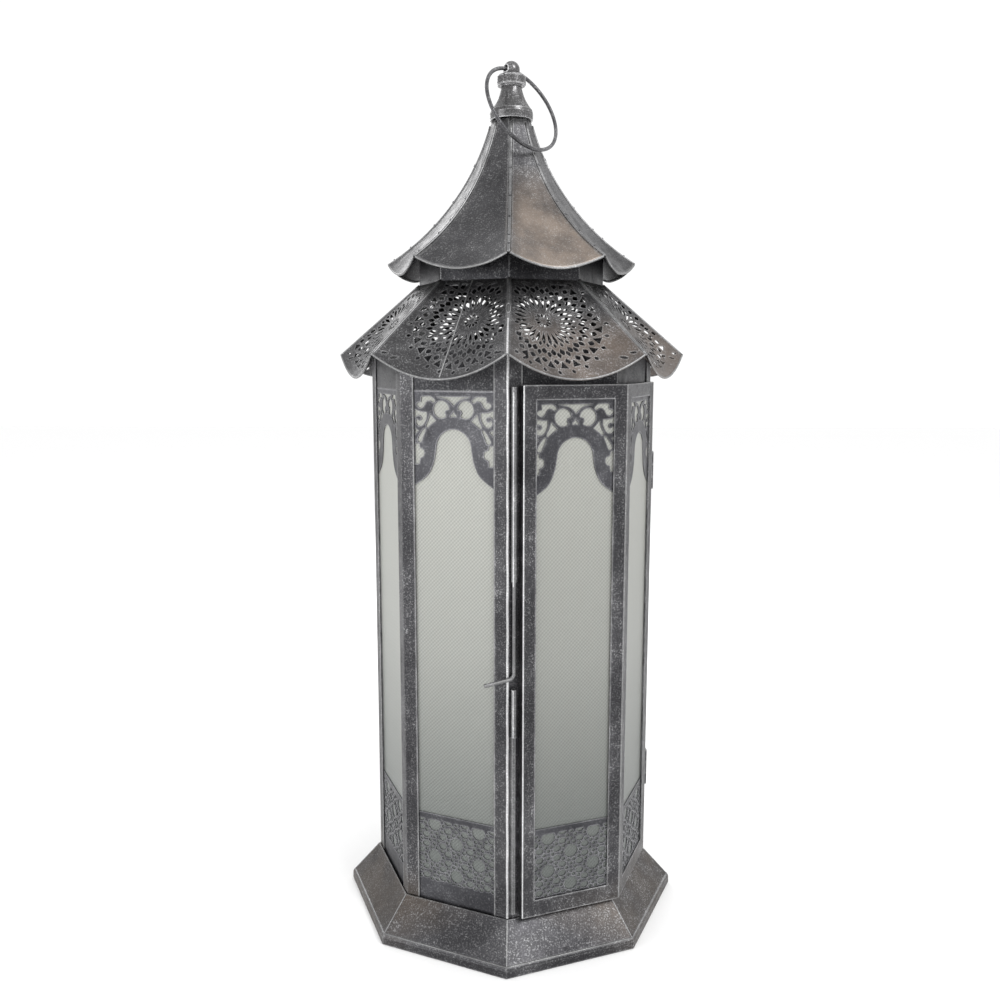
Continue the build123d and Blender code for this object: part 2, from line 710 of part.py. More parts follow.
# ---------------------------------------------------------------- neck band and upper roof
def curve_through(first, second, third):
    """Centre and radius of the circle through three points."""
    (x1, y1), (x2, y2), (x3, y3) = first, second, third
    d = 2 * (x1 * (y2 - y3) + x2 * (y3 - y1) + x3 * (y1 - y2))
    s1, s2, s3 = x1 ** 2 + y1 ** 2, x2 ** 2 + y2 ** 2, x3 ** 2 + y3 ** 2
    cx = (s1 * (y2 - y3) + s2 * (y3 - y1) + s3 * (y1 - y2)) / d
    cy = (s1 * (x3 - x2) + s2 * (x1 - x3) + s3 * (x2 - x1)) / d
    return cx, cy, hypot(x1 - cx, y1 - cy)


roof_points = [(r * COS_HALF, z) for r, z in (roof_eave, roof_middle, roof_crown)]
curve_x, curve_y, curve_radius = curve_through(*roof_points)


def roof_sag(apothem):
    """How far a panel hangs below its ridges half way between them."""
    start = roof_points[0][0] * roof_sag_start
    return roof_scallop * max(0.0, (apothem - start) / (roof_points[0][0] - start)) ** 2


def roof_height(apothem, offset=0.0):
    """Height of the hollow roof at an apothem; offset moves the curve along its normal."""
    return curve_y - ((curve_radius + offset) ** 2 - (apothem - curve_x) ** 2) ** 0.5


neck_top = roof_height(neck_apothem, roof_sheet) - roof_sag(neck_apothem) - roof_seat_gap
neck_bottom = skirt_top_height - neck_lap
with BuildPart() as neck_band:
    with BuildSketch(Plane.XY.offset(neck_bottom)):
        octagon(neck_corner_radius)
        RegularPolygon(neck_corner_radius - neck_thickness / COS_HALF, SIDES, rotation=0, mode=Mode.SUBTRACT)
    extrude(amount=neck_top - neck_bottom)
finish(neck_band.part, "neck_band")

roof_inner_apothem = finial_base_radius * COS_HALF - 1.5
roof_stations = 9
roof_step = (roof_points[0][0] - roof_inner_apothem) / (roof_stations - 1)
roof_apothems = [roof_inner_apothem + roof_step * i for i in range(roof_stations)]

for k in range(SIDES):
    azimuth = facet_azimuth(k)
    strips = []
    for apothem in roof_apothems:
        drop = roof_height(apothem) - roof_height(apothem, roof_sheet)
        sag = roof_sag(apothem) + level_sag
        strips.append(sagging_strip(azimuth, apothem, roof_height(apothem), sag, drop))
    with BuildPart() as roof_panel:
        loft(strips, ruled=True)
    finish(roof_panel.part, f"roof_panel_{k}")

ridge_stations = 9
ridge_top_radius = finial_base_radius - 0.6
ridge_span = roof_eave[0] - ridge_top_radius
ridge_radii = [ridge_top_radius + ridge_span * i / (ridge_stations - 1) for i in range(ridge_stations)]
with BuildPart() as roof_ridges:
    for k in range(SIDES):
        with BuildSketch(radial_plane(FACET_ANGLE * k)):
            with BuildLine():
                upper = [(r, roof_height(r * COS_HALF) + ridge_raise) for r in ridge_radii]
                lower = [(r, z - roof_sheet - ridge_raise) for r, z in upper]
                Spline(*upper)
                Line(upper[-1], lower[-1])
                Spline(*reversed(lower))
                Line(lower[0], upper[0])
            make_face()
        extrude(amount=ridge_half_width, both=True)
finish(roof_ridges.part, "roof_ridges")

# ---------------------------------------------------------------- finial and carry ring
finial_seat = roof_height(roof_inner_apothem) + finial_seat_gap
with BuildPart() as finial_cone:
    with BuildSketch(Plane.XZ):
        with BuildLine():
            base, shoulder = finial_base_height, (finial_shoulder_radius, finial_shoulder_height)
            neck = (finial_neck_radius, finial_neck_height)
            collar_foot = finial_neck_height + 1.0
            third = (finial_neck_height - finial_shoulder_height) / 3
            Polyline((0, finial_seat), (finial_base_radius - 1.2, finial_seat), (finial_base_radius - 0.4, base),
                     (finial_base_radius, base + 1.5), (finial_base_radius, base + 5.5), shoulder)
            Spline(shoulder, (finial_neck_radius + 3.9, shoulder[1] + 1.1 * third),
                   (finial_neck_radius + 1.1, shoulder[1] + 2.2 * third), neck)
            Polyline(neck, (finial_neck_radius, collar_foot), (finial_collar_radius - 0.5, collar_foot),
                     (finial_collar_radius, collar_foot + 0.8), (finial_collar_radius, finial_collar_height - 1.0),
                     (finial_collar_radius - 0.8, finial_collar_height), (0, finial_collar_height), (0, finial_seat))
        make_face()
    revolve(axis=Axis.Z)
finish(finial_cone.part, "finial_cone")

ring_centre_line = Vector(0, 0, ball_centre_height)
hole_run = Vector(cos(radians(ring_hole_azimuth)), sin(radians(ring_hole_azimuth)), 0) * cos(radians(ring_hole_tilt))
hole_run = hole_run - Vector(0, 0, sin(radians(ring_hole_tilt)))
ring_side = Vector(hole_run.Y, -hole_run.X, 0).normalized()
ring_down = hole_run.cross(ring_side)
ring_down = ring_down if ring_down.Z < 0 else ring_down * -1
ring_drop = ring_down * cos(radians(ring_lean)) + ring_side * sin(radians(ring_lean))
ring_centre = ring_centre_line + ring_drop * ring_mean_radius
ring_normal = hole_run.cross(ring_drop)

with BuildPart() as finial_ball:
    with Locations(ring_centre_line):
        Sphere(ball_radius)
    with BuildSketch(Plane.XY.offset(finial_collar_height)):
        Circle(ball_radius * 2)
    extrude(amount=-ball_radius * 2, mode=Mode.SUBTRACT)
    with BuildSketch(Plane(origin=ring_centre_line, z_dir=hole_run)):
        Circle(ring_hole_radius)
    extrude(amount=ball_radius * 2, both=True, mode=Mode.SUBTRACT)
finish(finial_ball.part, "finial_ball")

with BuildPart(Plane(origin=ring_centre, z_dir=ring_normal)) as carry_ring:
    Torus(ring_mean_radius, ring_wire_radius)
finish(carry_ring.part, "carry_ring")
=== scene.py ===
"""Looks of the octagonal pierced-metal lantern. Metres, +Z up, one corner towards -Y."""
import bpy
import numpy as np
from math import radians, degrees, sin, cos, tan, pi, atan2
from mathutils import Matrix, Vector
from mathutils.geometry import delaunay_2d_cdt


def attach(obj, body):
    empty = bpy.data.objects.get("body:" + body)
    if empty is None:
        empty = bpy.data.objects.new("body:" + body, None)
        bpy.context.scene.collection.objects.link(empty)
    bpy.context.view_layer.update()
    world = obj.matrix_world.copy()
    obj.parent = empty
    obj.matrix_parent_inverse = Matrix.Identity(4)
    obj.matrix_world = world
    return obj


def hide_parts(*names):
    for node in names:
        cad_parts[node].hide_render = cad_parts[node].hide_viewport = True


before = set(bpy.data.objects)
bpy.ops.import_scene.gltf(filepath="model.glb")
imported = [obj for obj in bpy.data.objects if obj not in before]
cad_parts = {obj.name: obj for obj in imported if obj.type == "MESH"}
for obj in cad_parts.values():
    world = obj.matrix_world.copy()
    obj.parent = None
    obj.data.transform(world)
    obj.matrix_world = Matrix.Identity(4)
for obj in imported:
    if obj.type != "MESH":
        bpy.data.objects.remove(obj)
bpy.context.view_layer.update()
scene = bpy.context.scene

# ------------------------------------------------------------------ camera, light and floor
# A plain white studio: one large key light from the right, a softer fill from the left, and one
# behind. The world gives most of the light; the floor is there for the contact shadow only.
camera_data = bpy.data.cameras.new("camera")
camera_data.lens = 34.62
camera_data.sensor_width = 36
camera_data.clip_start = 0.01
camera = bpy.data.objects.new("camera", camera_data)
camera.location = (0.01455, -0.80947, 0.4633)
camera.rotation_euler = (radians(81.76), 0, radians(1.67))
scene.collection.objects.link(camera)
scene.camera = camera
scene.render.resolution_x = 1000
scene.render.resolution_y = 1000
scene.view_settings.view_transform = "Standard"

world = bpy.data.worlds.new("studio")
scene.world = world
world.use_nodes = True
world.node_tree.nodes["Background"].inputs[0].default_value = (1, 1, 1, 1)
world.node_tree.nodes["Background"].inputs[1].default_value = 1.06

for name, place, size, power, spread in (
    ("key", (1.2, -1.3, 1.9), 0.9, 16, 150),
    ("fill", (-1.7, -1.3, 0.7), 1.2, 9, 150),
    ("rear", (-0.6, 1.8, 1.1), 1.2, 10, 160),
):
    data = bpy.data.lights.new(name, "AREA")
    data.size = size
    data.energy = power
    data.spread = radians(spread)
    lamp = bpy.data.objects.new(name, data)
    lamp.location = place
    lamp.rotation_euler = (Vector((0, 0, 0.35)) - Vector(place)).to_track_quat("-Z", "Y").to_euler()
    scene.collection.objects.link(lamp)

floor_mesh = bpy.data.meshes.new("floor")
floor_mesh.from_pydata([(-6, -6, 0), (6, -6, 0), (6, 6, 0), (-6, 6, 0)], [], [(0, 1, 2, 3)])
floor = bpy.data.objects.new("floor", floor_mesh)
scene.collection.objects.link(floor)
floor_material = bpy.data.materials.new("floor")
floor_material.use_nodes = True
floor_shader = floor_material.node_tree.nodes["Principled BSDF"]
floor_shader.inputs["Base Color"].default_value = (0.93, 0.93, 0.93, 1)
floor_shader.inputs["Roughness"].default_value = 0.9
floor_mesh.materials.append(floor_material)


# ------------------------------------------------------------------ plinth
# Flared octagonal foot of folded sheet, mitred at the corners, with a small turned rim; the
# posts are soldered inside its collar. The wall is octagons of (corner radius, height) joined up.
def antique_metal(name, dark, silver, speck, wear, rough=0.42, warm=None, scratch=0.5):
    """Dark patina over bright sheet. Silver shows by the sum of a cloudy rubbing, a fine speckle cut
    hard and gathered in patches, brushed scratches, and worn edges, which are found by comparing the
    true normal with one averaged over a small radius. Warm is a tint, its strength, and directions
    along which it fades in between two distances from the origin."""
    material = bpy.data.materials.new(name)
    material.use_nodes = True
    tree = material.node_tree
    shader = tree.nodes["Principled BSDF"]
    place = tree.nodes.new("ShaderNodeTexCoord")

    def noise(scale, detail, stretch=None, roughness=0.6):
        node = tree.nodes.new("ShaderNodeTexNoise")
        node.inputs["Scale"].default_value = scale
        node.inputs["Detail"].default_value = detail
        node.inputs["Roughness"].default_value = roughness
        if stretch:
            mapping = tree.nodes.new("ShaderNodeMapping")
            mapping.inputs["Scale"].default_value = stretch
            mapping.inputs["Rotation"].default_value = (0.2, 0.35, 0.6)
            tree.links.new(place.outputs["Object"], mapping.inputs["Vector"])
            tree.links.new(mapping.outputs[0], node.inputs["Vector"])
        else:
            tree.links.new(place.outputs["Object"], node.inputs["Vector"])
        return node.outputs["Fac"]

    def ramp(value, low, high, bottom=0.0, top=1.0):
        node = tree.nodes.new("ShaderNodeMapRange")
        node.inputs["From Min"].default_value = low
        node.inputs["From Max"].default_value = high
        node.inputs["To Min"].default_value = bottom
        node.inputs["To Max"].default_value = top
        tree.links.new(value, node.inputs["Value"])
        return node.outputs[0]

    def maths(operation, a, b):
        node = tree.nodes.new("ShaderNodeMath")
        node.operation = operation
        node.use_clamp = True
        for socket, value in zip(node.inputs, (a, b)):
            if isinstance(value, (int, float)):
                socket.default_value = value
            else:
                tree.links.new(value, socket)
        return node.outputs[0]

    def blend(factor, a, b):
        node = tree.nodes.new("ShaderNodeMix")
        node.data_type = "RGBA"
        tree.links.new(factor, node.inputs[0])
        for socket, value in ((node.inputs[6], a), (node.inputs[7], b)):
            if isinstance(value, tuple):
                socket.default_value = (*value, 1)
            else:
                tree.links.new(value, socket)
        return node.outputs[2]

    cloud = noise(14, 6)
    mid = noise(90, 5)
    fine = noise(820, 3)
    grit = noise(1500, 2)
    streak = noise(38, 4, (6, 6, 0.9), 0.75)
    hair = noise(160, 2, (0.6, 9, 3), 0.8)
    rub = maths("MULTIPLY", ramp(cloud, 0.42, 0.68), ramp(mid, 0.36, 0.64))
    cluster = maths("MULTIPLY", ramp(mid, 0.42, 0.66), ramp(cloud, 0.38, 0.66))
    patch = maths("ADD", cluster, ramp(streak, 0.35, 0.75, 0.12, 0.5))
    speckle = maths("MULTIPLY", maths("ADD", ramp(fine, 0.54, 0.64), ramp(grit, 0.6, 0.7)), patch)
    lines = maths("MULTIPLY", ramp(hair, 0.62, 0.74), ramp(streak, 0.45, 0.7))
    amount = maths("ADD", maths("MULTIPLY", rub, 0.07), maths("MULTIPLY", speckle, speck))
    amount = maths("ADD", amount, maths("MULTIPLY", lines, scratch))
    bevel = tree.nodes.new("ShaderNodeBevel")
    bevel.samples = 4
    bevel.inputs["Radius"].default_value = 0.0016
    geometry = tree.nodes.new("ShaderNodeNewGeometry")
    dot = tree.nodes.new("ShaderNodeVectorMath")
    dot.operation = "DOT_PRODUCT"
    tree.links.new(bevel.outputs[0], dot.inputs[0])
    tree.links.new(geometry.outputs["Normal"], dot.inputs[1])
    edge = ramp(dot.outputs["Value"], 0.995, 0.93)
    edge = maths("MULTIPLY", edge, ramp(mid, 0.3, 0.6, 0.35, 1.0))
    amount = maths("ADD", amount, maths("MULTIPLY", edge, wear))
    base = blend(ramp(cloud, 0.35, 0.65), dark, tuple(min(1, 1.7 * c + 0.004) for c in dark))
    # Warm blends a tan tint into noise patches, fading in along the given directions; on the skirt and roof
    # it is partly the metal's own tan and partly painted light on the side the key lamp lights.
    if warm:
        tint, strength, *limits = warm
        tan_and_light_share = maths("MULTIPLY", ramp(noise(34, 8), 0.28, 0.56, 0.25), strength)
        for direction, start, end in limits:
            reach = tree.nodes.new("ShaderNodeVectorMath")
            reach.operation = "DOT_PRODUCT"
            reach.inputs[1].default_value = direction
            tree.links.new(place.outputs["Object"], reach.inputs[0])
            tan_and_light_share = maths("MULTIPLY", tan_and_light_share, ramp(reach.outputs["Value"], start, end))
        base = blend(tan_and_light_share, base, tint)
    colour = blend(amount, base, silver)
    tree.links.new(colour, shader.inputs["Base Color"])
    shader.inputs["Metallic"].default_value = 0.82
    tree.links.new(ramp(mid, 0.3, 0.7, rough - 0.1, rough + 0.14), shader.inputs["Roughness"])
    bump = tree.nodes.new("ShaderNodeBump")
    bump.inputs["Strength"].default_value = 0.35
    bump.inputs["Distance"].default_value = 0.0006
    relief = maths("ADD", maths("MULTIPLY", fine, 0.35), maths("MULTIPLY", mid, 0.6))
    tree.links.new(relief, bump.inputs["Height"])
    tree.links.new(bump.outputs[0], shader.inputs["Normal"])
    return material


frame_metal = antique_metal("frame_metal", (0.028, 0.0275, 0.030), (0.66, 0.66, 0.67), 0.42, 0.45,
                            warm=((0.075, 0.062, 0.052), 0.8, ((0, 0, 1), 0.06, 0.035),
                                  ((0, 1, 0), -0.112, -0.09)), scratch=0.4)
edge_metal = antique_metal("edge_metal", (0.10, 0.10, 0.102), (0.7, 0.7, 0.7), 0.5, 0.3, rough=0.4)


def finish_piece(piece, material, body, replaces=(), bevel=0.0, smooth=False):
    """Gives a piece its finish, its softened folds, and its parent body, and hides the parts it replaces."""
    piece.data.materials.clear()
    piece.data.materials.append(material)
    if smooth:
        for polygon in piece.data.polygons:
            polygon.use_smooth = True
    if bevel:
        modifier = piece.modifiers.new("soft", "BEVEL")
        modifier.width = bevel
        modifier.segments = 2
        modifier.limit_method = "ANGLE"
        modifier.angle_limit = radians(28)
    if replaces:
        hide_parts(*replaces)
    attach(piece, body)
    return piece


def new_piece(name, points, faces):
    """Object at the origin whose mesh has the given points and faces."""
    mesh = bpy.data.meshes.new(name)
    mesh.from_pydata([tuple(map(float, p)) for p in points], [], [tuple(map(int, f)) for f in faces])
    mesh.validate()
    piece = bpy.data.objects.new(name, mesh)
    scene.collection.objects.link(piece)
    return piece


foot_return = [(0.1324, 0.001), (0.1324, 0.0), (0.1414, 0.0)]
turned_rim = [(0.1421, 0.0007), (0.1419, 0.0062), (0.1411, 0.0082), (0.1394, 0.0092)]
collar = [(0.1178, 0.0336), (0.1172, 0.0338), (0.1165, 0.0332)]
inner_wall = [(0.1387, 0.0081), (0.1405, 0.001)]
rings = foot_return + turned_rim + collar + inner_wall
turn = np.array([[sin(radians(45 * k)), -cos(radians(45 * k))] for k in range(8)])
points = [(r * x, r * y, z) for r, z in rings for x, y in turn]
faces = []
for j in range(len(rings)):
    upper = (j + 1) % len(rings)
    for k in range(8):
        faces.append((8 * j + k, 8 * j + (k + 1) % 8, 8 * upper + (k + 1) % 8, 8 * upper + k))
plinth = new_piece("plinth", points, faces)
finish_piece(plinth, frame_metal, "lantern", ["base_plinth"], bevel=0.0005)


def tube(name, path, radius, material, body, closed=False, replaces=(), sides=4):
    """Round wire or rolled hem: a circle swept along the path."""
    curve = bpy.data.curves.new(name, "CURVE")
    curve.dimensions = "3D"
    spline = curve.splines.new("POLY")
    spline.points.add(len(path) - 1)
    for point, (x, y, z) in zip(spline.points, path):
        point.co = (x, y, z, 1)
    spline.use_cyclic_u = closed
    curve.bevel_depth = radius
    curve.bevel_resolution = sides
    curve.use_fill_caps = not closed
    holder = bpy.data.objects.new(name, curve)
    scene.collection.objects.link(holder)
    mesh = bpy.data.meshes.new_from_object(holder.evaluated_get(bpy.context.evaluated_depsgraph_get()))
    bpy.data.objects.remove(holder)
    piece = bpy.data.objects.new(name, mesh)
    scene.collection.objects.link(piece)
    return finish_piece(piece, material, body, replaces, smooth=True)


for k in range(8):
    x, y = turn[k]
    tube(f"plinth_mitre_{k}", [(0.1396 * x, 0.1396 * y, 0.0090), (0.1176 * x, 0.1176 * y, 0.0336)], 0.0005,
         edge_metal, "lantern")
tube("plinth_rim", [(0.1400 * x, 0.1400 * y, 0.0084) for x, y in turn], 0.0008, edge_metal, "lantern",
     closed=True)

# ------------------------------------------------------------------ corner posts
# Seven angles of folded sheet round the corners, soft at the fold, soldered to plinth and header.
# Their lips are worn, a painted highlight runs down the front fold, and painted highlights lie on the tubes
# that hold the latch wire.
half_angle = radians(22.5)
corner_radius = 0.1163
post_leg = 0.011
post_foot, post_top = 0.0272, 0.4839


def prism(name, outline, low, high):
    """Straight bar with the given plan outline, drawn anticlockwise, between two heights."""
    n = len(outline)
    points = [(x, y, low) for x, y in outline] + [(x, y, high) for x, y in outline]
    faces = [tuple(range(n - 1, -1, -1)), tuple(range(n, 2 * n))]
    faces += [(i, (i + 1) % n, n + (i + 1) % n, n + i) for i in range(n)]
    return new_piece(name, points, faces)


def angle_outline(azimuth, radius, leg, thickness, soft):
    """Plan of an angle bent round a corner: two legs and a fold rounded by four chords."""
    a = radians(azimuth)
    out = np.array([sin(a), -cos(a)])
    side = np.array([cos(a), sin(a)])
    def at(r, s):
        return tuple(out * r + side * s)
    run, rise = cos(half_angle), sin(half_angle)
    outer = [at(radius - leg * rise, leg * run)]
    for turn_by in (1, 0.5, 0, -0.5, -1):
        outer.append(at(radius - soft * rise * abs(turn_by) - 0.25 * soft * (1 - abs(turn_by)) * rise,
                        soft * run * turn_by))
    outer.append(at(radius - leg * rise, -leg * run))
    inner_radius = radius - thickness / cos(half_angle)
    inner = [at(inner_radius - (leg - 0.0004) * rise, -(leg - 0.0004) * run), at(inner_radius, 0),
             at(inner_radius - (leg - 0.0004) * rise, (leg - 0.0004) * run)]
    outline = outer + inner
    area = sum(p[0] * q[1] - q[0] * p[1] for p, q in zip(outline, outline[1:] + outline[:1]))
    return outline if area > 0 else outline[::-1]


# Painted highlight: a near-white metal for the bright lines where edges catch the light, on the front fold,
# beside the latch-wire tubes, on the door's leading hem and on the front skirt seam.
painted_highlight_metal = antique_metal("painted_highlight_metal", (0.33, 0.33, 0.335), (1.0, 1.0, 1.0), 1.0, 0.3,
                             rough=0.3, scratch=1.0)

places = {0: "front", 2: "hinge", 3: "right_rear", 4: "rear", 5: "left_rear", 6: "left", 7: "left_front"}
for k, place in places.items():
    post = prism(f"post_{place}", angle_outline(45 * k, corner_radius, post_leg, 0.001, 0.0014),
                 post_foot, post_top)
    finish_piece(post, frame_metal, "lantern", [f"corner_post_{place}"], bevel=0.0003)
    a = radians(45 * k)
    out = np.array([sin(a), -cos(a)])
    side = np.array([cos(a), sin(a)])
    lip_radius = corner_radius - post_leg * sin(half_angle) - 0.0003
    for s in (-1, 1):
        x, y = out * lip_radius + side * s * post_leg * cos(half_angle)
        tube(f"post_{place}_lip_{s}", [(x, y, 0.034), (x, y, post_top - 0.0009)], 0.00032, edge_metal,
             "lantern")

# Painted highlight: a bright bead down the front corner fold.
fold_highlight_path = [(0.00012 * sin(150 * z), 0.0001 - corner_radius, z) for z in np.linspace(0.0345, 0.4835, 80)]
tube("front_fold_highlight", fold_highlight_path, 0.0011, painted_highlight_metal, "lantern")

# Painted highlights: two thin bright strips on the front of the latch-wire tube, where it catches the light.
highlight_x = 0.004858 + 0.00205 * sin(radians(196))
highlight_y = -0.116777 + 0.00205 * cos(radians(196))
for low, high in ((0.1822, 0.2193), (0.2985, 0.4410)):
    tube(f"jamb_highlight_{low}", [(highlight_x, highlight_y, z) for z in np.linspace(low, high, 12)], 0.0005, painted_highlight_metal,
         "lantern")

# ------------------------------------------------------------------ bands, fittings, finial and ring
# Plain bands, floor plate, candle pan, bent tabs, hinges, latch, door frame, finial and carry ring
# are kept as made and only take their finish; the header and neck bands take a darker metal as painted
# shade.
# Painted shade: a darker metal for the header band under the skirt and the neck band under the roof; the
# roof's solder dots use it too.
painted_shade_and_solder_metal = antique_metal("painted_shade_and_solder_metal", (0.014, 0.014, 0.016), (0.6, 0.6, 0.61), 0.3, 0.4, scratch=0.3)
dark_metal = antique_metal("dark_metal", (0.058, 0.057, 0.058), (0.8, 0.8, 0.81), 0.5, 0.9, rough=0.26)
kept_as_made = {
    painted_shade_and_solder_metal: ("header_band", "neck_band"),
    frame_metal: ("door_sill", "hinge_leaf_fixed", "hinge_leaf_door", "door_frame", "carry_ring"),
    edge_metal: ("hinge_pins", "jamb_tubes", "jamb_strip", "latch_wire"),
    dark_metal: ("floor_plate", "candle_pan", "glass_clips", "door_clips", "finial_cone", "finial_ball"),
}
for material, node in [(material, node) for material, nodes in kept_as_made.items() for node in nodes]:
    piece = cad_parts[node]
    piece.data.materials.clear()
    piece.data.materials.append(material)


# ------------------------------------------------------------------ pierced screens of the fixed facets
# Flat sheet soldered behind the posts, cut with an arched window, scroll fretwork over the arch
# and a star lattice below it. The piercings are closed outlines, mirrored about the middle line.
def rounded(corners, sharp=(), step=6):
    """Closed outline through the corners. Catmull-Rom curves between them; the sharp ones are kept."""
    corners = np.array(corners, float)
    n = len(corners)
    result = []
    for i in range(n):
        p0, p1, p2, p3 = (corners[(i + d) % n] for d in (-1, 0, 1, 2))
        if i in sharp:
            p0 = 2 * p1 - p2
        if (i + 1) % n in sharp:
            p3 = 2 * p2 - p1
        for t in np.arange(step) / step:
            result.append(0.5 * (2 * p1 + (p2 - p0) * t + (2 * p0 - 5 * p1 + 4 * p2 - p3) * t ** 2
                                 + (3 * p1 - p0 - 3 * p2 + p3) * t ** 3))
    return np.array(result)


def cut_sheet(name, outline, holes, thickness, extra=()):
    """Flat sheet in its own x-y plane, filled between an outline and its holes, in metres.
    The outlines are triangulated together, then triangles whose middle lies in a hole are left out.
    Extra points may be given where the sheet is to be bent afterwards."""
    loops = [np.asarray(loop, float) for loop in [outline, *holes]]
    starts = np.cumsum([0] + [len(loop) for loop in loops])
    edges = [(int(start + i), int(start + (i + 1) % len(loop)))
             for start, loop in zip(starts, loops) for i in range(len(loop))]
    corners = [Vector((float(x) * 1000, float(y) * 1000)) for loop in [*loops, extra] for x, y in loop]
    verts, _, faces, _, _, _ = delaunay_2d_cdt(corners, edges, [], 1, 1e-4, False)
    verts = np.array([(v.x, v.y) for v in verts]) / 1000
    faces = np.array([f for f in faces if len(f) == 3])
    middle = verts[faces].mean(axis=1)

    def inside(loop):
        low, high = loop.min(axis=0), loop.max(axis=0)
        near = np.nonzero(((middle > low) & (middle < high)).all(axis=1))[0]
        x, y = middle[near, 0][:, None], middle[near, 1][:, None]
        x1, y1 = loop[:, 0], loop[:, 1]
        x2, y2 = np.roll(x1, -1), np.roll(y1, -1)
        with np.errstate(divide="ignore", invalid="ignore"):
            cross = ((y1 > y) != (y2 > y)) & (x < (x2 - x1) * (y - y1) / (y2 - y1) + x1)
        result = np.zeros(len(middle), bool)
        result[near[cross.sum(axis=1) % 2 == 1]] = True
        return result

    solid = inside(loops[0])
    for loop in loops[1:]:
        solid &= ~inside(loop)
    used, order = np.unique(faces[solid], return_inverse=True)
    piece = new_piece(name, np.column_stack([verts[used], np.zeros(len(used))]), order.reshape(-1, 3))
    thick = piece.modifiers.new("sheet", "SOLIDIFY")
    thick.thickness = thickness
    thick.offset = 0
    return piece


def stand(piece, origin, along, up, out):
    """Moves the mesh's own points so that its x, y and z lie on the three given directions."""
    n = len(piece.data.vertices)
    flat = np.empty(3 * n)
    piece.data.vertices.foreach_get("co", flat)
    local = flat.reshape(-1, 3)
    world_points = np.array(origin) + local[:, :1] * along + local[:, 1:2] * up + local[:, 2:] * out
    piece.data.vertices.foreach_set("co", world_points.ravel())
    piece.data.update()


